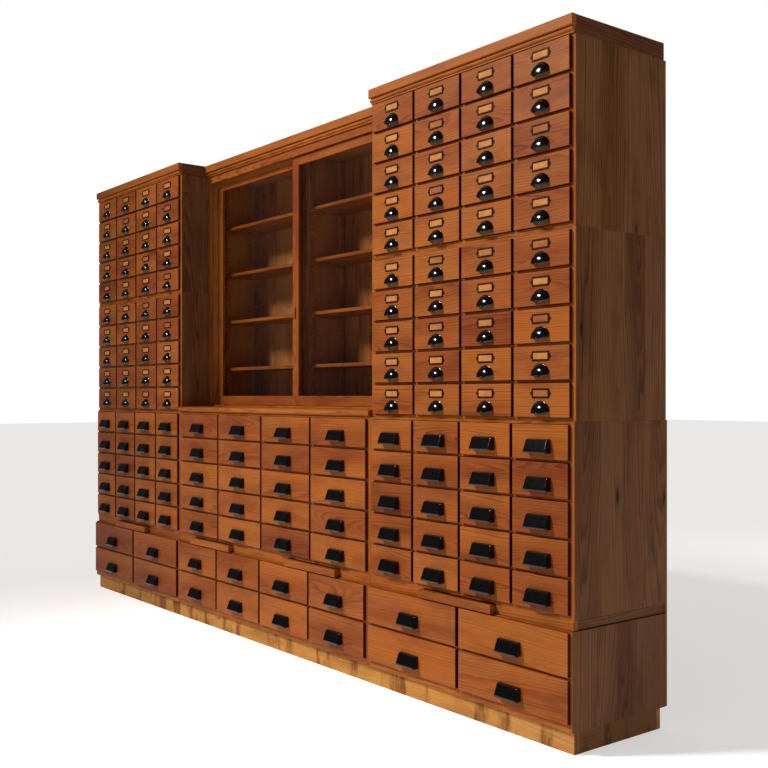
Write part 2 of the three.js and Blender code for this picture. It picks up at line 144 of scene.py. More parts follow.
def pine(name, early, late, ring, contrast, shine, knots=0.0, grime=0.0):
    """Sawn pine, finished with oil or wax: growth rings cut by the face, fibres, blotches and knots.

    The mesh carries where each point lay in its log: along the grain, and from the heart across and in.
    Rings round the heart then give cathedrals on flat-sawn faces and straight lines on the others.
    Real rings of this pine are 2 to 4 mm apart. They are drawn at about twice that, so that they show.
    """
    material = bpy.data.materials.new(name)
    tree = empty_tree(material)
    log = add(tree, "Attribute", {}, "Vector", attribute_name="grain")
    tone = add(tree, "Attribute", {}, "Fac", attribute_name="tone")
    dirt = add(tree, "Attribute", {}, "Fac", attribute_name="dirt")

    # The rings wander by up to 11 mm over a length of 400 mm and a width of 90 mm.
    slow = add(tree, "VectorMath", {0: log, 1: (2.6, 11.0, 11.0)}, operation="MULTIPLY")
    wander = add(tree, "TexNoise", {"Vector": slow, "Scale": 1.0, "Detail": 3.0}, "Color")
    drift = add(tree, "VectorMath", {0: wander, 1: (0.5, 0.5, 0.5)}, operation="SUBTRACT")
    bent = add(tree, "VectorMath", {0: drift, 1: (0.0, 0.022, 0.022), 2: log}, operation="MULTIPLY_ADD")
    across = add(tree, "VectorMath", {0: bent, 1: (0.0, 1.0, 1.0)}, operation="MULTIPLY")
    radius = add(tree, "VectorMath", {0: across}, "Value", operation="LENGTH")
    # Good summers and poor ones, 40 mm of growth at a time, make wide rings and narrow ones.
    seasons = add(tree, "VectorMath", {0: across, 1: (1.0, 24.0, 24.0)}, operation="MULTIPLY")
    growth = add(tree, "TexNoise", {"Vector": seasons, "Scale": 1.0, "Detail": 1.0})
    spread = add(tree, "Math", {0: growth, 1: 0.030, 2: radius}, operation="MULTIPLY_ADD")
    rings = add(tree, "Math", {0: spread, 1: ring * MM}, operation="DIVIDE")
    within = add(tree, "Math", {0: rings}, operation="FRACT")
    year = add(tree, "Math", {0: rings}, operation="FLOOR")
    summer = add(tree, "TexWhiteNoise", {"W": year}, noise_dimensions="1D")
    # Soft early wood darkens slowly into a hard line of late wood, and the next year starts pale again.
    rise = add(tree, "MapRange", {0: within, 1: 0.25, 2: 0.92}, **SOFT)
    fall = add(tree, "MapRange", {0: within, 1: 1.0, 2: 0.93}, **SOFT)
    line = add(tree, "Math", {0: rise, 1: fall}, operation="MULTIPLY")
    vigour = add(tree, "Math", {0: summer, 1: 0.6, 2: 0.4}, operation="MULTIPLY_ADD")
    late_wood = add(tree, "Math", {0: line, 1: vigour}, operation="MULTIPLY")
    ringed = add(tree, "Math", {0: late_wood, 1: contrast}, operation="MULTIPLY")
    colour = add(tree, "Mix", {0: ringed, 6: linear(early), 7: linear(late)}, 2, **BLEND)

    # Fibres run with the grain for 60 mm. Real ones are 0.3 mm wide or less, and these are 1.6 mm, to show.
    threads = add(tree, "VectorMath", {0: log, 1: (16.0, 620.0, 620.0)}, operation="MULTIPLY")
    fibres = add(tree, "TexNoise", {"Vector": threads, "Scale": 1.0, "Detail": 3.0, "Roughness": 0.6})
    streak = add(tree, "MapRange", {0: fibres, 1: 0.5, 2: 0.72, 4: 0.30}, **SOFT)
    colour = add(tree, "Mix", {0: streak, 6: colour, 7: linear(late)}, 2, **BLEND)

    # Boards from different trees: pale and yellow at tone 0, as they come at 0.35, dark and red at 1.
    pale = add(tree, "MapRange", {0: tone, 1: 0.35, 2: 0.0}, **SOFT)
    colour = add(tree, "Mix", {0: pale, 6: colour, 7: linear("#fffbd4")}, 2, **STAIN)
    deep = add(tree, "MapRange", {0: tone, 1: 0.35, 2: 1.0, 4: 0.85}, **SOFT)
    colour = add(tree, "Mix", {0: deep, 6: colour, 7: linear("#d2bab8")}, 2, **STAIN)
    # Heartwood, nearest the middle of the tree, is redder than the sapwood 40 to 100 mm out.
    heartwood = add(tree, "MapRange", {0: radius, 1: 0.105, 2: 0.035, 4: 0.5}, **SOFT)
    colour = add(tree, "Mix", {0: heartwood, 6: colour, 7: linear("#c69c88")}, 2, **STAIN)
    # The wax took unevenly, in soft clouds 80 by 300 mm and in paler bands 30 mm wide along the grain.
    drifts = add(tree, "VectorMath", {0: log, 1: (3.2, 12.0, 12.0)}, operation="MULTIPLY")
    clouds = add(tree, "TexNoise", {"Vector": drifts, "Scale": 1.0, "Detail": 3.0, "Roughness": 0.6})
    shade = add(tree, "MapRange", {0: clouds, 1: 0.40, 2: 0.75, 4: 0.6}, **SOFT)
    colour = add(tree, "Mix", {0: shade, 6: colour, 7: linear("#b89f92")}, 2, **STAIN)
    swathes = add(tree, "VectorMath", {0: log, 1: (1.4, 30.0, 30.0)}, operation="MULTIPLY")
    bands = add(tree, "TexNoise", {"Vector": swathes, "Scale": 1.0})
    lit = add(tree, "MapRange", {0: bands, 1: 0.48, 2: 0.68, 4: 0.3}, **SOFT)
    colour = add(tree, "Mix", {0: lit, 6: colour, 7: linear("#e0b060")}, 2,
                 data_type="RGBA", blend_type="SOFT_LIGHT")

    if knots:
        # Knots, 10 to 25 mm across, where a branch grew, with the grain darkened round them.
        branches = add(tree, "VectorMath", {0: bent, 1: (2.4, 8.5, 2.0)}, operation="MULTIPLY")
        spots = add(tree, "TexVoronoi", {"Vector": branches, "Scale": 1.0, "Randomness": 1.0})
        halo = add(tree, "MapRange", {0: spots, 1: knots * 4.0, 2: knots, 4: 0.35}, **SOFT)
        colour = add(tree, "Mix", {0: halo, 6: colour, 7: linear(late)}, 2, **BLEND)
        heart = add(tree, "MapRange", {0: spots, 1: knots * 1.6, 2: knots * 0.7, 4: 0.85}, **SOFT)
        colour = add(tree, "Mix", {0: heart, 6: colour, 7: linear("#241006")}, 2, **BLEND)
    if grime:
        # Mop marks, dark and a hand wide, run up the boards.
        # Kicks left small dents, 15 mm apart, with grime in them.
        where = add(tree, "NewGeometry", {}, "Position")
        spills = add(tree, "VectorMath", {0: where, 1: (11.0, 11.0, 2.5)}, operation="MULTIPLY")
        stains = add(tree, "TexNoise", {"Vector": spills, "Scale": 1.0, "Detail": 5.0, "Roughness": 0.65})
        stained = add(tree, "MapRange", {0: stains, 1: 0.50, 2: 0.64, 4: grime}, **SOFT)
        colour = add(tree, "Mix", {0: stained, 6: colour, 7: linear("#a58a74")}, 2, **STAIN)
        kicks = add(tree, "VectorMath", {0: where, 1: (65.0, 65.0, 80.0)}, operation="MULTIPLY")
        dents = add(tree, "TexNoise", {"Vector": kicks, "Scale": 1.0})
        dented = add(tree, "MapRange", {0: dents, 1: 0.72, 2: 0.77, 4: grime}, **SOFT)
        colour = add(tree, "Mix", {0: dented, 6: colour, 7: linear("#2d1b10")}, 2, **BLEND)
    # Darker where the mesh says: partly end grain and hidden faces that soaked up the wax and a century of dust,
    # partly painted shade in the gaps, recesses and undersides between parts.
    colour = add(tree, "Mix", {0: dirt, 6: colour, 7: linear("#7a6658")}, 2, **STAIN)

    # Late wood takes a better polish than early wood and stands a hair proud of it.
    polish = add(tree, "Math", {0: late_wood, 1: -0.05, 2: shine}, operation="MULTIPLY_ADD")
    rough = add(tree, "Math", {0: fibres, 1: 0.12, 2: polish}, operation="MULTIPLY_ADD")
    height = add(tree, "Math", {0: fibres, 1: 0.5, 2: late_wood}, operation="MULTIPLY_ADD")
    relief = add(tree, "Bump", {"Strength": 0.35, "Distance": 0.0006, "Height": height})
    # Wax that has been rubbed thin for a century mirrors less than a fresh coat.
    surface = add(tree, "BsdfPrincipled", {
        "Base Color": colour, "Roughness": rough, "Normal": relief, "Specular IOR Level": 0.10})
    add(tree, "OutputMaterial", {"Surface": surface})
    return material


def black_enamel():
    """Gloss black stoving enamel on pressed steel: deep black, sharp highlights, dulled a little by hands."""
    material = bpy.data.materials.new("black_stoving_enamel")
    tree = empty_tree(material)
    where = add(tree, "NewGeometry", {}, "Position")
    # Finger marks, 12 to 16 mm across.
    prints = add(tree, "VectorMath", {0: where, 1: (60.0, 60.0, 90.0)}, operation="MULTIPLY")
    handling = add(tree, "TexNoise", {"Vector": prints, "Scale": 1.0, "Detail": 3.0})
    worn = add(tree, "MapRange", {0: handling, 1: 0.62, 2: 0.74}, **SOFT)
    colour = add(tree, "Mix", {0: worn, 6: linear("#050404"), 7: linear("#100c0a")}, 2, **BLEND)
    rough = add(tree, "Math", {0: handling, 1: 0.07, 2: 0.09}, operation="MULTIPLY_ADD")
    # Orange peel of the sprayed coat, about a millimetre from crest to crest.
    coat = add(tree, "VectorMath", {0: where, 1: (900.0, 900.0, 900.0)}, operation="MULTIPLY")
    peel = add(tree, "TexNoise", {"Vector": coat, "Scale": 1.0, "Detail": 1.0})
    relief = add(tree, "Bump", {"Strength": 0.12, "Distance": 0.0002, "Height": peel})
    surface = add(tree, "BsdfPrincipled", {
        "Base Color": colour, "Roughness": rough, "Normal": relief, "Specular IOR Level": 0.36})
    add(tree, "OutputMaterial", {"Surface": surface})
    return material


def bronzed_brass():
    """Pressed brass, bronzed nearly black, rubbed to a warmer brown on patches 7 mm across."""
    material = bpy.data.materials.new("bronzed_brass")
    tree = empty_tree(material)
    where = add(tree, "NewGeometry", {}, "Position")
    thumbs = add(tree, "VectorMath", {0: where, 1: (140.0, 140.0, 140.0)}, operation="MULTIPLY")
    rubbing = add(tree, "TexNoise", {"Vector": thumbs, "Scale": 1.0, "Detail": 3.0})
    rubbed = add(tree, "MapRange", {0: rubbing, 1: 0.50, 2: 0.72}, **SOFT)
    colour = add(tree, "Mix", {0: rubbed, 6: linear("#1d120a"), 7: linear("#4a2c14")}, 2, **BLEND)
    rough = add(tree, "Math", {0: rubbing, 1: 0.3, 2: 0.42}, operation="MULTIPLY_ADD")
    surface = add(tree, "BsdfPrincipled", {"Base Color": colour, "Roughness": rough, "Metallic": 0.9})
    add(tree, "OutputMaterial", {"Surface": surface})
    return material


def buff_card():
    """Buff index card, yellowed and some of it brown, with foxing. Nothing is written on it."""
    material = bpy.data.materials.new("buff_card")
    tree = empty_tree(material)
    where = add(tree, "NewGeometry", {}, "Position")
    age = add(tree, "Attribute", {}, "Fac", attribute_name="tone")
    # Yellowing in patches 25 to 45 mm across, and foxing in spots of 5 mm.
    damp = add(tree, "VectorMath", {0: where, 1: (22.0, 22.0, 40.0)}, operation="MULTIPLY")
    yellowing = add(tree, "TexNoise", {"Vector": damp, "Scale": 1.0, "Detail": 4.0})
    yellowed = add(tree, "MapRange", {0: yellowing, 1: 0.35, 2: 0.65}, **SOFT)
    colour = add(tree, "Mix", {0: yellowed, 6: linear("#b0722a"), 7: linear("#9c6226")}, 2, **BLEND)
    browned = add(tree, "MapRange", {0: age, 1: 0.55, 2: 1.0}, **SOFT)
    colour = add(tree, "Mix", {0: browned, 6: colour, 7: linear("#c8a680")}, 2, **STAIN)
    mould = add(tree, "VectorMath", {0: where, 1: (210.0, 210.0, 210.0)}, operation="MULTIPLY")
    foxing = add(tree, "TexNoise", {"Vector": mould, "Scale": 1.0})
    foxed = add(tree, "MapRange", {0: foxing, 1: 0.60, 2: 0.70, 4: 0.35}, **SOFT)
    colour = add(tree, "Mix", {0: foxed, 6: colour, 7: linear("#7a4a20")}, 2, **BLEND)
    surface = add(tree, "BsdfPrincipled", {"Base Color": colour, "Roughness": 0.72, "Specular IOR Level": 0.3})
    add(tree, "OutputMaterial", {"Surface": surface})
    return material


def window_glass():
    """Old float glass: it lets light straight through and mirrors the room at a slant."""
    material = bpy.data.materials.new("window_glass")
    tree = empty_tree(material)
    clear = add(tree, "BsdfTransparent", {"Color": linear("#f5f6f4")})
    mirror = add(tree, "BsdfGlossy", {"Color": linear("#f4e8ee"), "Roughness": 0.03})
    # It mirrors little head on, and most at a glancing slant.
    slant = add(tree, "LayerWeight", {"Blend": 0.5}, "Facing")
    glancing = add(tree, "Math", {0: slant, 1: 5.0}, operation="POWER")
    share = add(tree, "Math", {0: glancing, 1: 0.6, 2: 0.015}, operation="MULTIPLY_ADD")
    surface = add(tree, "MixShader", {0: share, 1: clear, 2: mirror})
    add(tree, "OutputMaterial", {"Surface": surface})
    return material


def nail_steel():
    """Wire nails, rusted brown and dull."""
    material = bpy.data.materials.new("rusted_nail_steel")
    tree = empty_tree(material)
    surface = add(tree, "BsdfPrincipled", {"Base Color": linear("#2b1d15"), "Roughness": 0.7, "Metallic": 0.5})
    add(tree, "OutputMaterial", {"Surface": surface})
    return material


WAXED = pine("waxed_pitch_pine", "#94541e", "#5e2a09", ring=6.5, contrast=0.7, shine=0.46)
WAXED_SIDE = pine("aged_panel_pine", "#774f31", "#4c321d", ring=9, contrast=0.85, shine=0.5, knots=0.055)
WORN = pine("worn_plinth_pine", "#ab7c46", "#82562b", ring=9, contrast=0.5, shine=0.6, knots=0.03, grime=0.9)
BARE = pine("bare_box_pine", "#b98d58", "#966434", ring=9, contrast=0.6, shine=0.6, knots=0.03)
INNER = pine("oiled_inner_pine", "#ae7244", "#6e4228", ring=8, contrast=0.75, shine=0.5, knots=0.03)
ROUGH = pine("sawn_back_pine", "#7a5638", "#5b3d26", ring=9, contrast=0.6, shine=0.75, knots=0.05)
ENAMEL = black_enamel()
BRONZE = bronzed_brass()
CARD = buff_card()
GLASS = window_glass()
NAIL = nail_steel()


# ---------------------------------------------------------------- boards and shapes
class Work:
    """Boards and shapes on the bench, in millimetres, that become one piece."""

    def __init__(self):
        self.points, self.faces, self.smooth = [], [], []
        self.grain, self.tone, self.dirt = [], [], []

    def shape(self, points, faces, place_in_log, tone=0.3, smooth=False, dirt=lambda point: 0.0):
        start = len(self.points)
        self.points += [tuple(point) for point in points]
        self.faces += [[start + corner for corner in face] for face in faces]
        self.smooth += [smooth] * len(faces)
        self.grain += [place_in_log(point) for point in points]
        self.tone += [tone] * len(points)
        self.dirt += [dirt(point) for point in points]

    def board(self, low, high, along, ease=1.0, steps=1, tone=None, flat=None, pocket=None, dirt=0.0):
        """An eased board between two corners, with its grain along an axis: 0, 1 or 2."""
        points, faces = eased_box(low, high, ease, steps, pocket)
        tone = chance.random() * 0.5 if tone is None else tone
        dust_and_shade_at = dirt if callable(dirt) else lambda point: dirt
        self.shape(points, faces, log_place(low, high, along, flat), tone, dirt=dust_and_shade_at)

    def piece(self, name, material, body, replaces=(), slot=None):
        mesh = bpy.data.meshes.new(name)
        mesh.from_pydata([Vector(point) * MM for point in self.points], [], self.faces)
        mesh.attributes.new("grain", "FLOAT_VECTOR", "POINT").data.foreach_set(
            "vector", [value * MM for place in self.grain for value in place])
        mesh.attributes.new("tone", "FLOAT", "POINT").data.foreach_set("value", self.tone)
        mesh.attributes.new("dirt", "FLOAT", "POINT").data.foreach_set("value", self.dirt)
        mesh.polygons.foreach_set("use_smooth", self.smooth)
        mesh.materials.append(material)
        mesh.update()
        made = bpy.data.objects.new(name, mesh)
        bpy.context.scene.collection.objects.link(made)
        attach(made, body)
        if replaces:
            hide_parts(*replaces)
        return made


def built(points, faces):
    """A mesh to work on."""
    bm = bmesh.new()
    verts = [bm.verts.new(point) for point in points]
    for face in faces:
        bm.faces.new([verts[i] for i in face])
    return bm


def finished(bm):
    """The points and faces of a closed shape, with its faces turned outward."""
    bmesh.ops.recalc_face_normals(bm, faces=bm.faces[:])
    bm.verts.index_update()
    points = [vert.co.copy() for vert in bm.verts]
    faces = [[vert.index for vert in face.verts] for face in bm.faces]
    bm.free()
    return points, faces


def in_fixed_order(points, faces):
    """The same shape with its corners and faces listed by where they lie."""
    order = sorted(range(len(points)), key=lambda i: tuple(round(value, 3) for value in points[i]))
    new = {old: i for i, old in enumerate(order)}
    renamed = [[new[i] for i in face] for face in faces]
    firsts = [face.index(min(face)) for face in renamed]
    turned = [face[first:] + face[:first] for face, first in zip(renamed, firsts)]
    return [points[i] for i in order], sorted(turned)


def skirt(count, start=0):
    """Faces between two outlines of count points each, the second listed after the first."""
    return [[start + i, start + (i + 1) % count, start + (i + 1) % count + count, start + i + count]
            for i in range(count)]


def eased_box(low, high, ease, steps, pocket=None):
    """Points and faces of a box with rounded edges. pocket is a recess in its front: x range, z range, depth."""
    bm = bmesh.new()
    bmesh.ops.create_cube(bm, size=1.0)
    low, high = Vector(low), Vector(high)
    size, middle = high - low, (low + high) / 2
    for vert in bm.verts:
        vert.co = Vector(vert.co[i] * size[i] + middle[i] for i in range(3))
    if ease:
        bmesh.ops.bevel(bm, geom=bm.edges[:], offset=min(ease, min(size) * 0.45), segments=steps, profile=0.5,
                        affect="EDGES", clamp_overlap=True)
    if pocket:
        (left, right), (bottom, top), depth = pocket
        for axis, value in ((0, left), (0, right), (2, bottom), (2, top)):
            normal = Vector((axis == 0, 0, axis == 2))
            bmesh.ops.bisect_plane(bm, geom=bm.verts[:] + bm.edges[:] + bm.faces[:],
                                   plane_co=normal * value, plane_no=normal)
        mouth = [f for f in bm.faces if f.normal.y < -0.9
                 and left < f.calc_center_median().x < right and bottom < f.calc_center_median().z < top]
        sunk = bmesh.ops.extrude_face_region(bm, geom=mouth)
        bmesh.ops.delete(bm, geom=mouth, context="FACES")
        moved = [e for e in sunk["geom"] if isinstance(e, bmesh.types.BMVert)]
        bmesh.ops.translate(bm, verts=moved, vec=(0, depth, 0))
        # Cutting the recess leaves the corners and faces in a chance order.
        return in_fixed_order(*finished(bm))
    return finished(bm)


def log_place(low, high, along, flat=None):
    """A function from a point on a board to where it lay in its log, at a chance place in the tree."""
    sides = sorted((i for i in range(3) if i != along), key=lambda i: low[i] - high[i])
    wide, thin = sides
    middle = [(a + b) / 2 for a, b in zip(low, high)]
    shift = chance.uniform(0, 30000)
    if flat is None:
        flat = chance.random() < 0.55
    across = chance.uniform(-60, 60) if flat else chance.choice((-1, 1)) * chance.uniform(110, 260)
    inward = chance.uniform(18, 75)
    lean_across, lean_in = chance.uniform(-0.05, 0.05), chance.uniform(-0.09, 0.09)

    def place(point):
        run = point[along] - middle[along]
        return (
            run + shift,
            point[wide] - middle[wide] + across + lean_across * run,
            point[thin] - middle[thin] + inward + lean_in * run,
        )
    return place


def no_log(point):
    """Where metal and card lie: the pattern doesn't follow a grain."""
    return tuple(point)


def moulded(work, outline, left, right, tone=0.3):
    """A moulding with its outline of [y, z] points, run from left to right with the grain along it."""
    count = len(outline)
    points = [(x, y, z) for x in (left, right) for y, z in outline]
    ends = [list(range(count))[::-1], list(range(count, 2 * count))]
    ys, zs = zip(*outline)
    low, high = (left, min(ys), min(zs)), (right, max(ys), max(zs))
    _, faces = finished(built(points, skirt(count) + ends))
    work.shape(points, faces, log_place(low, high, 0, flat=False), tone)


def arc(centre, radius, start, end, steps):
    """Points [y, z] round a quarter or more of a circle, with the angles in degrees."""
    turns = [math.radians(start + (end - start) * i / steps) for i in range(steps + 1)]
    return [(centre[0] + radius * math.cos(turn), centre[1] + radius * math.sin(turn)) for turn in turns]


def box_of(node):
    """A CAD node's corners in millimetres."""
    low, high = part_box(node)
    return low / MM, high / MM


def strips(low, high, about):
    """Cuts a width into boards of about the same width, never quite equal."""
    count = max(1, round((high - low) / about))
    shares = [chance.uniform(0.85, 1.15) for _ in range(count)]
    total = sum(shares)
    edges = [low]
    for share in shares:
        edges.append(edges[-1] + (high - low) * share / total)
    return list(zip(edges, edges[1:]))


# ---------------------------------------------------------------- handles and card frames
def shell(outer, inner, across, down):
    """Points and faces of a thin sheet: outer and inner give a point for each share across and down."""
    points = [side(i / across, j / down) for side in (outer, inner)
              for j in range(down + 1) for i in range(across + 1)]
    row, layer = across + 1, (across + 1) * (down + 1)
    faces = []
    for j in range(down):
        for i in range(across):
            a = j * row + i
            faces.append([a, a + 1, a + 1 + row, a + row])
            faces.append([a + layer, a + row + layer, a + 1 + row + layer, a + 1 + layer])
    rim = [(j * row, (j + 1) * row) for j in range(down)]
    rim += [((j + 1) * row + across, j * row + across) for j in range(down)]
    rim += [(i + 1, i) for i in range(across)]
    rim += [(down * row + i, down * row + i + 1) for i in range(across)]
    faces += [[a, b, b + layer, a + layer] for a, b in rim]
    bm = built(points, faces)
    bmesh.ops.remove_doubles(bm, verts=bm.verts[:], dist=0.02)
    bmesh.ops.dissolve_degenerate(bm, edges=bm.edges[:], dist=0.01)
    return finished(bm)


def cup_shape(low, high):
    """A cup pull: a dome with a flat rim against the front, and a lip that dips in the middle."""
    bottom = low.z - CUP_DROP
    half, depth, height = (high.x - low.x) / 2, high.y - low.y, high.z - bottom
    middle, back, dip, rim = (low.x + high.x) / 2, high.y, 9.0, 3.0
    foot = bottom + dip

    def dome(thickness):
        def point(round_, out):
            turn = math.pi * (1 - round_)
            if out < CUP_RIM:
                spread, rise = half - thickness * 0.3 - rim * out / CUP_RIM, 0.8 - thickness * 0.4
            else:
                lift = (out - CUP_RIM) / 0.88 * math.pi / 2
                spread = (half - rim - thickness) * math.cos(lift) ** 0.85
                rise = (depth - thickness) * math.sin(lift) ** 0.8 + 0.8 * math.cos(lift)
            tall = (height - dip) / half
            fall = dip * max(0.0, (rise - 1) / depth)
            return Vector((middle + spread * math.cos(turn), back - max(rise, 0.05),
                           foot + spread * tall * math.sin(turn) - fall))
        return point
    points, faces = shell(dome(0.0), dome(SHEET), 26, 14)
    # A thin black plate behind it covers the wood inside the hollow and just below the lip: partly the pull's back
    # plate, partly painted shade where the hollow and the cup's shadow darken the wood.
    turns = [2 * math.pi * i / 32 for i in range(32)]
    rim_line = [(middle + (half - 1) * math.cos(turn),
                 foot + (height - dip - 1 if turn < math.pi else dip + 1.5) * math.sin(turn)) for turn in turns]
    start, count = len(points), len(rim_line)
    points += [Vector((x, y, z)) for y in (back - 0.7, back - 0.1) for x, z in rim_line]
    faces += [list(range(start, start + count))[::-1], list(range(start + count, start + 2 * count))]
    faces += skirt(count, start)
    return points, faces


def hood_shape(low, high):
    """A hooded pull bent from one sheet: a roof, a sloping front and rounded corners into a cheek at each end."""
    half, depth = (high.x - low.x) / 2, high.y - low.y
    middle, back, top, bottom = (low.x + high.x) / 2, high.y, high.z, low.z

    def sheet(thickness):
        def point(round_, down):
            down = down ** 1.9                   # more rows where the sheet bends over at the top
            out = HOOD_ROOF + (depth - HOOD_ROOF) * min(1.0, down / 0.93)
            if down < 0.07:                      # the roof starts from the wood
                out *= math.sin(math.pi / 2 * down / 0.07)
            out = max(out - thickness, 0.2)
            wide = half - HOOD_FLARE * (1 - down) - thickness
            radius = max(0.3, min(HOOD_BEND - thickness * 0.5, out * 0.8))
            span = 2 * (out - radius) + math.pi * radius + 2 * (wide - radius)
            along = round_ * span
            if along <= out - radius:                                   # one cheek
                x, y = -wide, along
            elif along >= span - (out - radius):                        # the other cheek
                x, y = wide, span - along
            else:
                along -= out - radius
                corner = math.pi * radius / 2
                if along < corner:
                    turn = along / radius
                    x, y = -wide + radius * (1 - math.cos(turn)), out - radius * (1 - math.sin(turn))
                elif along > corner + 2 * (wide - radius):
                    turn = (span - 2 * (out - radius) - along) / radius
                    x, y = wide - radius * (1 - math.cos(turn)), out - radius * (1 - math.sin(turn))
                else:
                    x, y = -wide + radius + along - corner, out
            z = top - thickness * (1 - down) - (top - bottom) * down
            return Vector((middle + x, back - y, z))
        return point
    return shell(sheet(0.0), sheet(SHEET), 48, 12)


def frame_shape(work, low, high):
    """A pressed card frame: four rounded bars, an ear at each end and a screw in each ear."""
    ear, bar = 8.0, 6.2
    left, right = low.x + ear, high.x - ear
    mid = (low.z + high.z) / 2
    bars = [
        ((left, low.y, high.z - bar), (right, high.y, high.z)),
        ((left, low.y, low.z), (right, high.y, low.z + bar)),
        ((left, low.y, low.z + bar * 0.6), (left + bar, high.y, high.z - bar * 0.6)),
        ((right - bar, low.y, low.z + bar * 0.6), (right, high.y, high.z - bar * 0.6)),
    ]
    for start, end in bars:
        points, faces = eased_box(start, end, 1.1, 3)
        work.shape(points, faces, no_log)
    for edge, tip in ((left + 0.6, low.x), (right - 0.6, high.x)):
        outline = [(edge, mid - 9.5), (edge, mid + 9.5), (tip + (edge - tip) * 0.12, mid + 1.4),
                   (tip, mid), (tip + (edge - tip) * 0.12, mid - 1.4)]
        flat = [(x, y, z) for y in (low.y + 1.0, high.y) for x, z in outline]
        count = len(outline)
        faces = skirt(count) + [list(range(count)), list(range(count, 2 * count))[::-1]]
        if tip < edge:
            faces = [face[::-1] for face in faces]
        work.shape(flat, faces, no_log)
        dome_points, dome_faces = screw_head(Vector(((edge + tip) / 2, low.y + 1.0, mid)), 2.1)
        work.shape(dome_points, dome_faces, no_log, smooth=True)


def screw_head(centre, radius):
    """A small round head, facing forward."""
    sides, levels = 10, 3
    points = [centre + Vector((0, -radius * 0.42, 0))]
    for level in range(1, levels + 1):
        lift = math.pi / 2 * level / levels
        for side in range(sides):
            turn = 2 * math.pi * side / sides
            points.append(centre + Vector((radius * math.sin(lift) * math.cos(turn),
                                           -radius * 0.42 * math.cos(lift),
                                           radius * math.sin(lift) * math.sin(turn))))
    faces = [[0, 1 + side, 1 + (side + 1) % sides] for side in range(sides)]
    for level in range(levels - 1):
        start = 1 + level * sides
        for side in range(sides):
            following = (side + 1) % sides
            faces.append([start + side, start + sides + side, start + sides + following, start + following])
    return points, faces


# ---------------------------------------------------------------- carcasses and their drawers
class Carcass:
    """A carcass's places, all from its own node, its working drawer's and its handle's."""

    def __init__(self, name):
        self.name = name
        self.layout = LAYOUT[name]
        self.low, self.high = box_of(f"{name}_carcass")
        self.drawer = box_of(f"{name}_drawer")
        self.pull = box_of(f"{name}_pull")
        self.tower = name.startswith("tower")
        self.card = box_of(f"{name}_card_frame") if self.tower else None
        self.front = self.drawer[0].y + FRONT_PROUD
        self.columns, self.rows = self.layout["count"]

    def shift(self, column, row):
        works, pitch = self.layout["works"], self.layout["pitch"]
        return Vector(((column - works[0]) * pitch[0], 0, (row - works[1]) * pitch[1]))

    def rect(self, column, row):
        """Left, right, bottom and top of a front."""
        low = self.drawer[0] + self.shift(column, row)
        high = self.drawer[1] + self.shift(column, row)
        return low.x, high.x, low.z, high.z

    def is_working(self, column, row):
        return (column, row) == self.layout["works"]

    def places(self):
        return [(c, r) for r in range(self.rows) for c in range(self.columns)]


def front_tone(carcass, column, row):
    """Fronts cut from different boards: most are alike, a few redder or darker. Towards the left end the tone rises
    by up to 0.12 more: painted shade, for the key light falling off to the left.
    """
    left_shade = 1 - (carcass.rect(column, row)[0] * MM - cad_low.x) / (cad_high.x - cad_low.x)
    return min(1.0, chance.betavariate(1.6, 2.6) + 0.12 * left_shade)


def add_front(work, carcass, column, row, ease=1.6):
    left, right, bottom, top = carcass.rect(column, row)
    face = carcass.drawer[0].y
    slack = chance.uniform(0.0, 0.5)
    low = (left, face + slack, bottom)
    high = (right, face + FRONT_THICK, top)

    def dirt(point):
        """Painted shade, partly real: the ends, in the shaded gaps between columns, are darkened fully (end grain
        also takes the wax darker), the underside, in the shade of the gap below it, mostly, and the top edge not at
        all.
        """
        if point[0] < left + 0.1 or point[0] > right - 0.1:
            return 1.0
        return 0.8 if point[2] < bottom + 0.1 else 0.0

    work.board(low, high, 0, ease=ease, steps=2, tone=front_tone(carcass, column, row), dirt=dirt)


def fixed_drawers(carcass):
    """The drawers that stay shut: a front each, then their pulls, card frames and cards as one piece each."""
    pulls, frames, cards = Work(), Work(), Work()
    shape = cup_shape(*carcass.pull) if carcass.tower else hood_shape(*carcass.pull)
    for column, row in carcass.places():
        if carcass.is_working(column, row):
            continue
        front = Work()
        add_front(front, carcass, column, row)
        front.piece(f"{carcass.name}_front_{column + 1}_{row + 1}", WAXED, "cabinet", slot="pine")
        move = carcass.shift(column, row)
        pulls.shape([point + move for point in shape[0]], shape[1], no_log, smooth=True)
        if carcass.tower:
            low, high = carcass.card[0] + move, carcass.card[1] + move
            frame_shape(frames, low, high)
            add_card(cards, low, high)
    pulls.piece(f"{carcass.name}_fixed_pulls", ENAMEL, "cabinet", slot="black_enamel")
    if carcass.tower:
        frames.piece(f"{carcass.name}_fixed_card_frames", BRONZE, "cabinet", slot="bronze")
        cards.piece(f"{carcass.name}_fixed_cards", CARD, "cabinet")


def add_card(work, low, high):
    end, edge = CARD_INSET
    points, faces = eased_box((low.x + end, high.y - 1.3, low.z + edge),
                              (high.x - end, high.y - 0.1, high.z - edge), 0.2, 1)
    work.shape(points, faces, no_log, tone=chance.random())


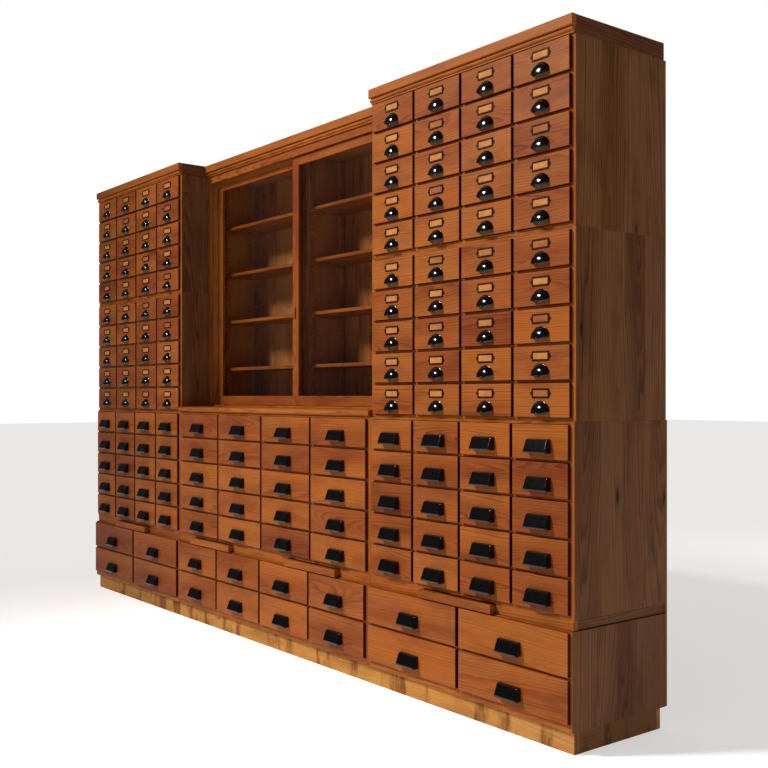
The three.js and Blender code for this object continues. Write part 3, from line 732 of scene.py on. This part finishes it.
def working_drawer(carcass):
    """The drawer that runs out: front, dovetailed sides, back and a thin bottom, with its pull and card."""
    name, body = carcass.name, f"{carcass.name}_drawer"
    column, row = carcass.layout["works"]
    front = Work()
    add_front(front, carcass, column, row)
    front.piece(f"{name}_working_front", WAXED, body, [f"{name}_drawer"], "drawer_pine")

    low, high = carcass.drawer
    left, right = low.x + 0.5, high.x - 0.5
    start, tail = low.y + FRONT_THICK, high.y
    top = high.z - BOX_HEADROOM
    box = Work()
    for side in ((left, left + BOX_SIDE), (right - BOX_SIDE, right)):
        box.board((side[0], start, low.z), (side[1], tail, top), 1, ease=0.8)
    box.board((left + BOX_SIDE, tail - BOX_SIDE, low.z), (right - BOX_SIDE, tail, top), 0, ease=0.8)
    box.board((left + BOX_SIDE, start, low.z + 1), (right - BOX_SIDE, tail - BOX_SIDE, low.z + BOX_BOTTOM), 0,
              ease=0)
    # Three dovetails on each side are let into the front.
    for middle in (low.z + (top - low.z) * share for share in (0.2, 0.5, 0.8)):
        dovetail = [(start - 6, middle - 9), (start + 0.5, middle - 6),
                    (start + 0.5, middle + 6), (start - 6, middle + 9)]
        moulded(box, dovetail, low.x - 0.2, low.x + 2, tone=0.5)
        moulded(box, dovetail, high.x - 2, high.x + 0.2, tone=0.5)
    box.piece(f"{name}_working_box", BARE, body, slot="drawer_pine")

    points, faces = cup_shape(*carcass.pull) if carcass.tower else hood_shape(*carcass.pull)
    pull = Work()
    pull.shape(points, faces, no_log, smooth=True)
    pull.piece(f"{name}_working_pull", ENAMEL, body, [f"{name}_pull"], "black_enamel")
    if carcass.tower:
        metal, card = Work(), Work()
        frame_shape(metal, *carcass.card)
        metal.piece(f"{name}_working_card_frame", BRONZE, body, [f"{name}_card_frame"], "bronze")
        add_card(card, *carcass.card)
        card.piece(f"{name}_working_card", CARD, body)


def side_panel(work, x, low, high, tone=None):
    """A panel glued up from upright boards, front edge to back."""
    for start, end in strips(low.y, high.y, PANEL_BOARD):
        work.board((x[0], start, low.z), (x[1], end, high.z), 2, ease=0.4,
                   tone=chance.uniform(0.1, 0.65) if tone is None else tone)


def grid(work, carcass, z_low, back):
    """Rails between the rows and dividers between the columns, all the way back."""
    first, last = carcass.rect(0, 0), carcass.rect(carcass.columns - 1, carcass.rows - 1)
    left, right = first[0] - FIT, last[1] + FIT
    front = carcass.front
    edges = [z_low]
    for row in range(carcass.rows):
        _, _, bottom, top = carcass.rect(0, row)
        edges += [bottom - FIT, top + FIT]
    edges.append(carcass.high.z)
    for i in range(0, len(edges), 2):
        # The rails get a pale tone, which also stands in for the light on the lines between the rows: painted
        # light.
        work.board((left, front, edges[i]), (right, back, edges[i + 1]), 0, ease=0.8, tone=0.1)
    for row in range(carcass.rows):
        _, _, bottom, top = carcass.rect(0, row)
        for column in range(carcass.columns - 1):
            start = carcass.rect(column, row)[1] + FIT
            end = carcass.rect(column + 1, row)[0] - FIT
            # The dividers get a darker tone and are darkened strongly: painted shade in the gaps between the
            # columns.
            work.board((start, front, bottom - FIT), (end, back, top + FIT), 2, ease=0.6, tone=0.4,
                       dirt=0.9)
    return left, right


def build_carcass(name):
    carcass = Carcass(name)
    low, high = carcass.low, carcass.high
    inner, outer = Work(), Work()
    is_base, is_mid = name.startswith("base"), name.startswith("mid")
    first_row = carcass.rect(0, 0)[2]
    rail_foot = first_row - FIT - RAIL
    z_low = low.z + WAIST if is_mid else rail_foot if is_base else low.z
    left, right = grid(inner, carcass, z_low, high.y)
    panel_low = Vector((low.x, carcass.front, z_low if is_mid else low.z))
    for x in ((low.x, left), (right, high.x)):
        # The base's side panels get a darker tone: painted shade, against the light that the bright floor throws on
        # them.
        side_panel(outer, x, panel_low, high, chance.uniform(0.5, 0.8) if is_base else None)
        # The panels' front edges show as a pale strip beside the drawers.
        inner.board((x[0] + 0.2, carcass.front - 0.4, panel_low.z), (x[1] - 0.2, carcass.front + 3, high.z), 2,
                    ease=0.3, tone=0.1)
    if is_base:
        inner.board((left, carcass.front, low.z), (right, carcass.front + WAIST_RAIL, rail_foot - 0.1), 0,
                    ease=0.8, tone=0.2)
    if is_mid:
        waist(inner, outer, carcass)
    inner.piece(f"{name}_rails", WAXED, "cabinet", [f"{name}_carcass"], "pine")
    outer.piece(f"{name}_side_panels", WAXED_SIDE, "cabinet", slot="pine")
    fixed_drawers(carcass)
    working_drawer(carcass)


def waist(inner, outer, carcass):
    """The layer under the middle unit: a front rail cut for the slides, guides beside them, and set-in ends."""
    side = carcass.name.split("_")[1]
    slides = sorted((box_of(node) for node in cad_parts
                     if node == f"writing_slide_{side}" or node.startswith(f"writing_slide_{side}_")),
                    key=lambda corners: corners[0].x)
    z = (carcass.low.z, carcass.low.z + WAIST)
    ends = [carcass.low.x, carcass.high.x]
    if side == "left":
        ends[0] += WAIST_RECESS
    if side == "right":
        ends[1] -= WAIST_RECESS
    edges = [ends[0]]
    for low, high in slides:
        edges += [low.x - FIT, high.x + FIT]
    edges.append(ends[1])
    for i in range(0, len(edges), 2):
        inner.board((edges[i], carcass.front, z[0]), (edges[i + 1], carcass.front + WAIST_RAIL, z[1] - 0.1), 0,
                    ease=0.8, tone=0.15)
    for edge in edges[1:-1]:
        start = edge - SLIDE_GUIDE if edges.index(edge) % 2 else edge
        inner.board((start, carcass.front + WAIST_RAIL, z[0]), (start + SLIDE_GUIDE, carcass.high.y, z[1] - 0.1), 1,
                    ease=0.5)
    # The set-in ends get a darker tone and some darkening: painted shade of their recess.
    for x in ((ends[0], ends[0] + WAIST_RAIL), (ends[1] - WAIST_RAIL, ends[1])):
        outer.board((x[0], carcass.front + WAIST_RAIL, z[0]), (x[1], carcass.high.y, z[1] - 0.1), 1, ease=2.5,
                    tone=0.5, dirt=0.25)


for carcass_name in LAYOUT:
    build_carcass(carcass_name)


# ---------------------------------------------------------------- writing slides
def writing_slide(node):
    """A board that pulls out of the waist, with a thick lip to grip."""
    low, high = box_of(node)
    slide = Work()
    lip, middle = 22, (low.z + high.z) / 2
    slide.board(low, (high.x, low.y + lip, high.z), 0, ease=2.5, steps=3, tone=0.2)
    slide.board((low.x, low.y + lip - 0.5, middle - 10), (high.x, high.y, middle + 10), 0, ease=1, tone=0.25)
    slide.piece(f"{node}_board", WAXED, node, [node], "pine")


for slide_name in ("right", "centre_right", "centre_left", "left"):
    writing_slide(f"writing_slide_{slide_name}")


# ---------------------------------------------------------------- plinth
def plinth():
    """Worn boards on edge round cross bearers, with the front in three lengths butted end to end."""
    low, high = box_of("plinth")
    thick, bearers = 22, 5
    boards = Work()
    joints = [low.x, low.x + 1240, high.x - 345, high.x]

    def dirt(point):
        """The ends are dark with floor polish."""
        # Points at the two ends, the plinth's sides, are darkened.
        return 0.75 if point[0] > high.x - 0.1 or point[0] < low.x + 0.1 else 0.0

    for start, end in zip(joints, joints[1:]):
        boards.board((start, low.y, low.z), (end, low.y + thick, high.z), 0, ease=1.8, steps=2,
                     tone=chance.random() * 0.4, dirt=dirt)
    boards.board((low.x, high.y - thick, low.z), (high.x, high.y, high.z), 0, ease=1.5)
    pitch = (high.x - low.x - thick) / (bearers + 1)
    for i in range(bearers + 2):
        start = low.x + i * pitch
        boards.board((start, low.y + thick, low.z), (start + thick, high.y - thick, high.z), 1, ease=1.5, tone=0.5,
                     dirt=dirt)
    boards.piece("plinth_boards", WORN, "cabinet", ["plinth"], "plinth_pine")


plinth()


# ---------------------------------------------------------------- counter and crowns
def counter():
    low, high = box_of("counter_board")
    radius = (high.z - low.z) / 2
    nosing = arc((low.y + radius, low.z + radius), radius, 90, 270, 12)
    board = Work()
    moulded(board, [(high.y, high.z), *nosing, (high.y, low.z)], low.x, high.x, tone=0.2)
    board.piece("counter_top", WAXED, "cabinet", ["counter_board"], "pine")


def crown(node, face):
    """A tall fascia over a groove and a bead, with a dust board on top. face is the carcass front below it."""
    low, high = box_of(node)
    work = Work()
    fascia_bottom, foot, bead = low.z + 23, face - 8, 7
    thick = 22
    fascia = [(low.y + thick, high.z)]
    fascia += arc((low.y + 3, high.z - 3), 3, 90, 180, 4)
    fascia += arc((low.y + 3, fascia_bottom + 3), 3, 180, 270, 4)
    fascia += [(low.y + thick, fascia_bottom)]
    moulded(work, fascia, low.x, high.x, tone=0.25)
    under = [(foot + 24, fascia_bottom), (foot, fascia_bottom), (foot, low.z + 20)]
    under += [(foot - bead * math.sin(math.pi * i / 8), low.z + 13 + bead * math.cos(math.pi * i / 8))
              for i in range(1, 8)]
    under += [(foot, low.z + 6), (foot, low.z), (foot + 24, low.z)]
    moulded(work, under, low.x + 3, high.x - 3, tone=0.15)
    work.piece(f"{node}_moulding", WAXED, "cabinet", [node], "pine")
    box = Work()
    for x in ((low.x, low.x + thick), (high.x - thick, high.x)):
        box.board((x[0], low.y + thick, low.z), (x[1], high.y, high.z), 1, ease=1.2, tone=0.9)
    box.board((low.x + thick, high.y - thick, low.z), (high.x - thick, high.y, high.z), 0, ease=1.0)
    for start, end in strips(low.y + thick, high.y - thick, 140):
        box.board((low.x + thick, start, high.z - 14), (high.x - thick, end, high.z - 0.5), 0, ease=0.6)
    box.piece(f"{node}_box", WAXED_SIDE, "cabinet", slot="pine")


tower_face = Carcass("tower_left_upper").front
counter()
crown("crown_left", tower_face)
crown("crown_right", tower_face)
crown("crown_display", box_of("display_face_frame")[0].y)


# ---------------------------------------------------------------- display
CASE_BOARD = 20
CASE_BOTTOM = 8
RACK = (12, 20)
RACK_TOOTH = 25
RACK_ROOT = 0.55       # share of a rack's thickness behind its teeth
RACK_REAR_GAP = 12
CLEAT = 12
DOOR_GUIDE = 8
PARTITION_HALF = 10
LINING = 6             # inner boards of the display's back


def rack(work, x, y, z, notch):
    """An upright with saw teeth that hold the shelf cleats. notch is +1 where the teeth face right."""
    points, outline = [], []
    height = z[0]
    while height < z[1] - RACK_TOOTH:
        outline += [(0.0, height), (RACK[0], height + RACK_TOOTH * 0.75), (0.0, height + RACK_TOOTH)]
        height += RACK_TOOTH
    back, face = (x[0], x[1]) if notch > 0 else (x[1], x[0])
    root = face - notch * RACK[0] * RACK_ROOT
    depth = [(root + notch * out * 0.45, level) for out, level in outline]
    depth.append((root, z[1]))
    for here in y:
        points += [(px, here, pz) for px, pz in [(back, z[0]), *depth, (back, z[1])]]
    count = len(depth) + 2
    ends = [list(range(count)), list(range(count, 2 * count))[::-1]]
    bm = built(points, skirt(count) + ends)
    bmesh.ops.recalc_face_normals(bm, faces=bm.faces[:])
    bmesh.ops.triangulate(bm, faces=[f for f in bm.faces if len(f.verts) > 4])
    _, faces = finished(bm)
    low, high = (x[0], y[0], z[0]), (x[1], y[1], z[1])
    work.shape(points, faces, log_place(low, high, 2), 0.05)


def display():
    low, high = box_of("display_case")
    shelves = [box_of(f"display_shelf_left_{i}") for i in range(1, 5)]
    back = high.y - 12
    z = (low.z + CASE_BOTTOM, high.z - CASE_BOARD)
    case, racks = Work(), Work()
    for x in ((low.x, low.x + CASE_BOARD), (high.x - CASE_BOARD, high.x)):
        side_panel(case, x, low, Vector((high.x, back + LINING, high.z)), tone=0.3)
    inner = (low.x + CASE_BOARD, high.x - CASE_BOARD)
    case.board((inner[0], low.y, z[1]), (inner[1], back, high.z), 0)
    shelf_front = shelves[0][0].y
    partition_front = box_of("display_door_left")[1].y + 1
    case.board((-PARTITION_HALF, partition_front, z[0]), (PARTITION_HALF, back, z[1]), 2, tone=0.4)
    # The back is boarded twice, smooth inside and rough outside.
    rear = Work()
    for start, end in strips(inner[0], inner[1], 96):
        case.board((start, back, low.z), (end, back + LINING, high.z), 2, ease=1.2,
                   tone=chance.uniform(0.0, 0.5))
    for start, end in strips(low.x, high.x, BACK_BOARD):
        rear.board((start, back + LINING, low.z), (end, high.y, high.z), 2, ease=1.2,
                   tone=chance.uniform(0.0, 0.55))
    case.piece("display_case_boards", INNER, "cabinet", ["display_case"], "display_pine")
    rear.piece("display_rear_boards", ROUGH, "cabinet", slot="back_boards")

    floor = Work()
    floor.board((inner[0], low.y, low.z), (inner[1], back, z[0]), 0, ease=0.5, tone=0.2)
    for node in ("display_door_right", "display_door_left"):
        door_high = box_of(node)[1]
        start = door_high.y + 1
        floor.board((inner[0], start, door_high.z - 12), (inner[1], start + DOOR_GUIDE, z[1]), 0, ease=0.8,
                    tone=0.4)
    floor.piece("display_tracks", WAXED, "cabinet", slot="display_pine")

    rack_y = ((shelf_front, shelf_front + RACK[1]), (back - RACK_REAR_GAP - RACK[1], back - RACK_REAR_GAP))
    uprights = (
        ((inner[0], inner[0] + RACK[0]), 1),
        ((-PARTITION_HALF - RACK[0], -PARTITION_HALF), -1),
        ((PARTITION_HALF, PARTITION_HALF + RACK[0]), 1),
        ((inner[1] - RACK[0], inner[1]), -1),
    )
    for x, facing in uprights:
        for y in rack_y:
            rack(racks, x, y, z, facing)
        for shelf_low, _ in shelves:
            top = shelf_low.z - 0.3
            racks.board((x[0], rack_y[0][1] - 4, top - CLEAT), (x[1], rack_y[1][0] + 4, top), 1, ease=0.8)
    racks.piece("display_shelf_racks", INNER, "cabinet", slot="display_pine")
    for side in ("left", "right"):
        for level in range(1, 5):
            display_shelf(f"display_shelf_{side}_{level}")


def display_shelf(node):
    """A shelf with a notch at each corner for the racks and an eased front edge."""
    low, high = box_of(node)
    clear, deep = RACK[0] + 0.5, RACK[1] + 1.5
    rear = high.y - RACK_REAR_GAP - RACK[1] - 1.5
    shelf = Work()
    tone = chance.random() * 0.3
    shelf.board((low.x + clear, low.y, low.z), (high.x - clear, high.y, high.z), 0, ease=2.0, steps=2, tone=tone)
    for x in ((low.x, low.x + clear), (high.x - clear, high.x)):
        shelf.board((x[0], low.y + deep, low.z), (x[1], rear, high.z), 0, ease=0.6, tone=tone)
    shelf.piece(f"{node}_board", WAXED, "cabinet", [node], "display_pine")


def face_frame():
    """Two stiles and a frieze round the doors."""
    low, high = box_of("display_face_frame")
    stile, frieze = 32, 36
    work = Work()
    for x in ((low.x, low.x + stile), (high.x - stile, high.x)):
        work.board((x[0], low.y, low.z), (x[1], high.y, high.z), 2, ease=1.2, steps=2, tone=0.5)
    work.board((low.x + stile, low.y, high.z - frieze), (high.x - stile, high.y, high.z), 0, ease=1.2, steps=2,
               tone=0.2)
    work.piece("display_face_stiles", WAXED, "cabinet", ["display_face_frame"], "pine")


def sliding_door(side):
    """Stiles with the grain upright, rails between them, a rounded inner edge, a finger slot and the pane."""
    node = f"display_door_{side}"
    low, high = box_of(node)
    stile, top_rail, bottom_rail = 50, 40, 47
    slot_left, slot_bottom = low.x + 20, box_of("display_case")[0].z + 422
    frame_work = Work()
    frame_work.board(low, (low.x + stile, high.y, high.z), 2, ease=1.6, steps=2, tone=0.65,
                     pocket=((slot_left, slot_left + 10), (slot_bottom, slot_bottom + 56), 12))
    frame_work.board((high.x - stile, low.y, low.z), high, 2, ease=1.6, steps=2, tone=0.7)
    rails = ((low.z, low.z + bottom_rail), (high.z - top_rail, high.z))
    for z in rails:
        frame_work.board((low.x + stile, low.y + 0.3, z[0]), (high.x - stile, high.y - 0.3, z[1]), 0, ease=1.6,
                         steps=2, tone=0.5)
    frame_work.piece(f"{node}_stiles_and_rails", WAXED, node, [node], "pine")
    pane = Work()
    middle = (low.y + high.y) / 2
    pane_low, pane_high = box_of(f"display_pane_{side}")
    points, faces = eased_box((pane_low.x, middle - 2, pane_low.z), (pane_high.x, middle + 2, pane_high.z), 0.6, 1)
    pane.shape(points, faces, no_log)
    pane.piece(f"display_pane_{side}_glass", GLASS, node, [f"display_pane_{side}"], "glass")


display()
face_frame()
sliding_door("right")
sliding_door("left")


# ---------------------------------------------------------------- backs
def back_boards(node):
    """Upright sawn boards nailed side by side, with two nails to a board at the ends and halfway."""
    low, high = box_of(node)
    work, nails = Work(), Work()
    for start, end in strips(low.x, high.x, BACK_BOARD):
        rear = high.y - chance.uniform(0, 0.8)
        work.board((start + 0.6, low.y + chance.uniform(0, 0.8), low.z), (end - 0.6, rear, high.z), 2, ease=1.2,
                   tone=chance.uniform(0.0, 0.55))
        for z in (low.z + 12, (low.z + high.z) / 2, high.z - 12):
            for x in (start + 22, end - 22):
                x, z = x + chance.uniform(-4, 4), z + chance.uniform(-3, 3)
                points, faces = eased_box((x - 1.7, rear - 0.4, z - 1.7), (x + 1.7, rear + 0.4, z + 1.7), 0.9, 2)
                nails.shape(points, faces, no_log)
    work.piece(f"{node}_boards", ROUGH, "cabinet", [node], "back_boards")
    nails.piece(f"{node}_nails", NAIL, "cabinet")


for back_node in ("back_lower", "back_tower_left", "back_tower_right"):
    back_boards(back_node)


# ---------------------------------------------------------------- floor, light and camera
def studio():
    bpy.ops.mesh.primitive_plane_add(size=80, location=(0, 0, 0))
    floor = bpy.context.object
    floor.name = "studio_floor"
    material = bpy.data.materials.new("pale_studio_floor")
    tree = empty_tree(material)
    # A paper sweep lit from below as well, so that shadows on it stay pale.
    paper = add(tree, "BsdfPrincipled", {
        "Base Color": linear("#f5f6f8"), "Roughness": 0.85,
        "Emission Color": linear("#ffffff"), "Emission Strength": 0.48})
    add(tree, "OutputMaterial", {"Surface": paper})
    floor.data.materials.append(material)

    world = bpy.data.worlds.new("studio")
    bpy.context.scene.world = world
    tree = empty_tree(world)
    # The backdrop is white, and what reaches the cabinet from it is soft and dim beside the key light.
    soft = add(tree, "Background", {"Color": linear("#f8f5f1"), "Strength": 0.27})
    white = add(tree, "Background", {"Color": linear("#ffffff"), "Strength": 1.0})
    # Away from the backdrop the room is dark, and that is what gloss mirrors.
    dark = add(tree, "Background", {"Color": linear("#f6f1f6"), "Strength": 0.09})
    mirrored = add(tree, "LightPath", {}, "Is Glossy Ray")
    seen = add(tree, "LightPath", {}, "Is Camera Ray")
    room = add(tree, "MixShader", {0: mirrored, 1: soft, 2: dark})
    both = add(tree, "MixShader", {0: seen, 1: room, 2: white})
    add(tree, "OutputWorld", {"Surface": both})
    bpy.context.scene.view_settings.view_transform = "Standard"

    # The key comes from the front left, high up: a wide lamp aimed at the right half, and a little sharp sun.
    downward = Vector(KEY_DIRECTION).normalized()
    sun = bpy.data.lights.new("key", "SUN")
    sun.energy = SUN_POWER
    sun.angle = math.radians(SUN_ANGLE)
    spot = bpy.data.lights.new("right_half", "SPOT")
    spot.energy = SPOT_POWER
    spot.spot_size = math.radians(SPOT_ANGLE)
    spot.spot_blend = 1.0
    spot.shadow_soft_size = SPOT_RADIUS
    for light in (sun, spot):
        light.color = linear("#fff8f0")[:3]
        lamp = bpy.data.objects.new(light.name, light)
        bpy.context.scene.collection.objects.link(lamp)
        lamp.rotation_mode = "QUATERNION"
        lamp.rotation_quaternion = downward.to_track_quat("-Z", "Y")
        lamp.location = Vector(KEY_AIM) - downward * KEY_DISTANCE


def camera():
    data = bpy.data.cameras.new("camera")
    made = bpy.data.objects.new("camera", data)
    bpy.context.scene.collection.objects.link(made)
    right, front = cad_high.x, Carcass("tower_right_upper").front * MM
    offset = Vector(CAMERA_FROM_CORNER) * MM
    made.location = Vector((right, front, 0)) + offset
    made.rotation_euler = (math.radians(90), 0, math.radians(CAMERA_TURN))
    data.sensor_width = 36
    data.lens = CAMERA_LENS
    data.shift_y = CAMERA_RISE
    data.clip_start, data.clip_end = 0.05, 200
    bpy.context.scene.camera = made


studio()
camera()
